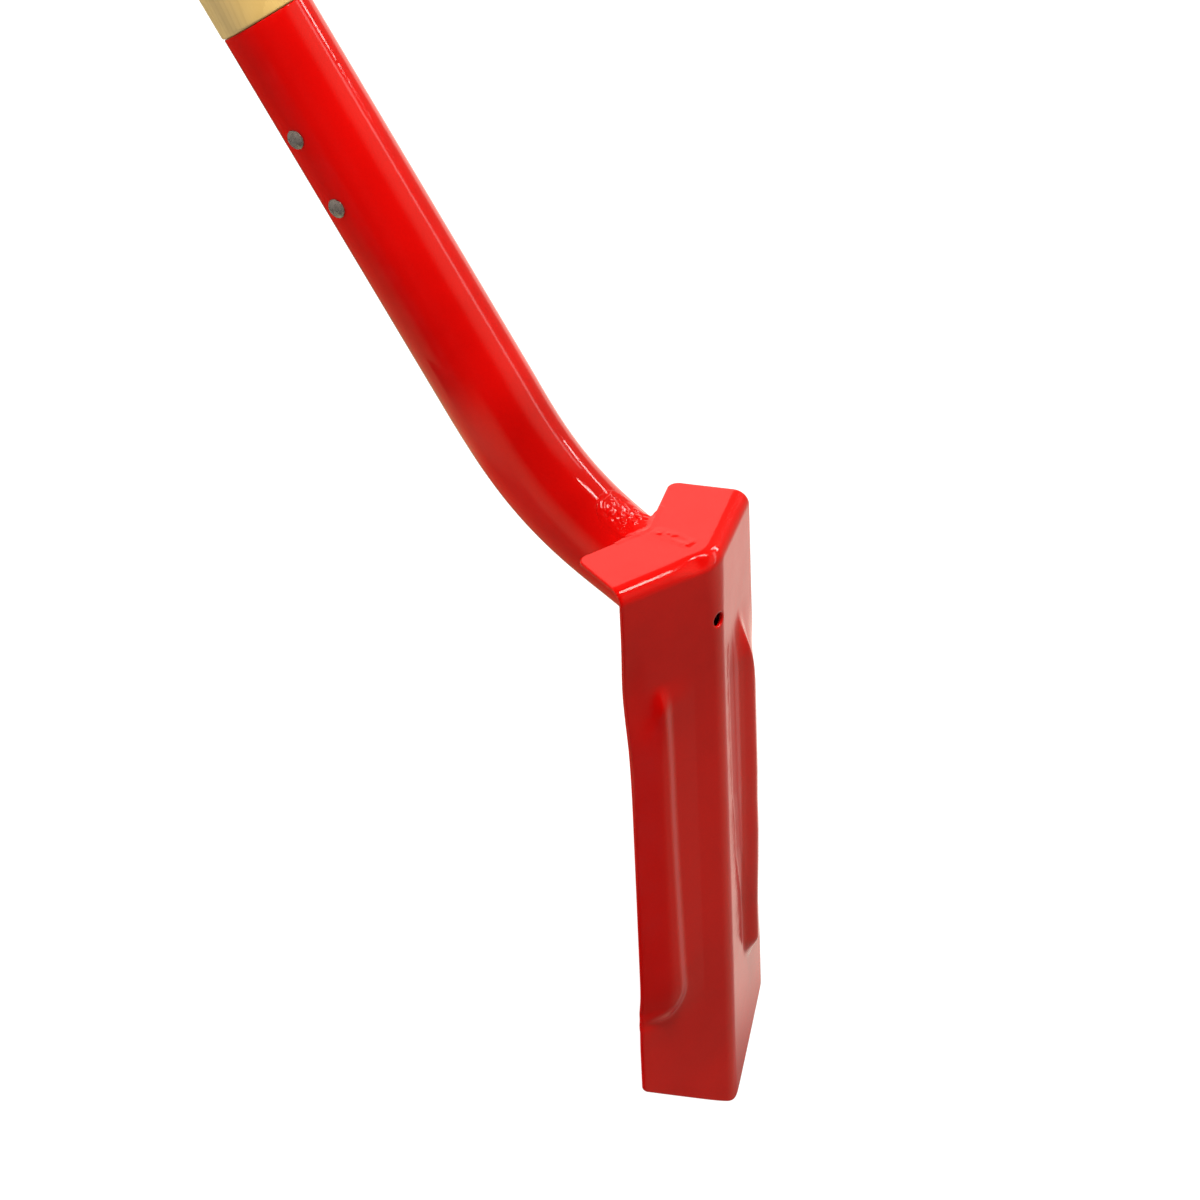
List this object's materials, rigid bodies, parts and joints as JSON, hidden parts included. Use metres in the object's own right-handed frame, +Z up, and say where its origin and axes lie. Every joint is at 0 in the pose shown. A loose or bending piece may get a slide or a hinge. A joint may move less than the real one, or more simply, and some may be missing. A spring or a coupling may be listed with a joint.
{
  "type": "trenching shovel",
  "caption": "Long handled trenching shovel: V-section steel blade with two turned foot steps, bent welded socket tube and a riveted straight wooden handle.",
  "frame": {"origin": "middle of the footprint, on the floor that the tool lies on, ridge up", "axes": "+X from the point of the blade towards the butt of the handle, +Z up, +Y across the blade"},
  "size_m": [1.6368, 0.0952, 0.1632],
  "materials": {
    "enamel": "glossy red enamel over pressed steel",
    "painted_weld": "glossy red enamel over lumpy weld",
    "ash_wood": "clear finished pale ash, fine straight grain",
    "rivet_steel": "dull bright steel dome heads"
  },
  "bodies": {
    "root": {"blade": "enamel", "socket_tube": "enamel", "neck_weld": "painted_weld", "step_weld": "painted_weld", "seam_weld": "painted_weld", "handle": "ash_wood", "rivet_upper": "rivet_steel", "rivet_lower": "rivet_steel"}
  },
  "joints": []
}
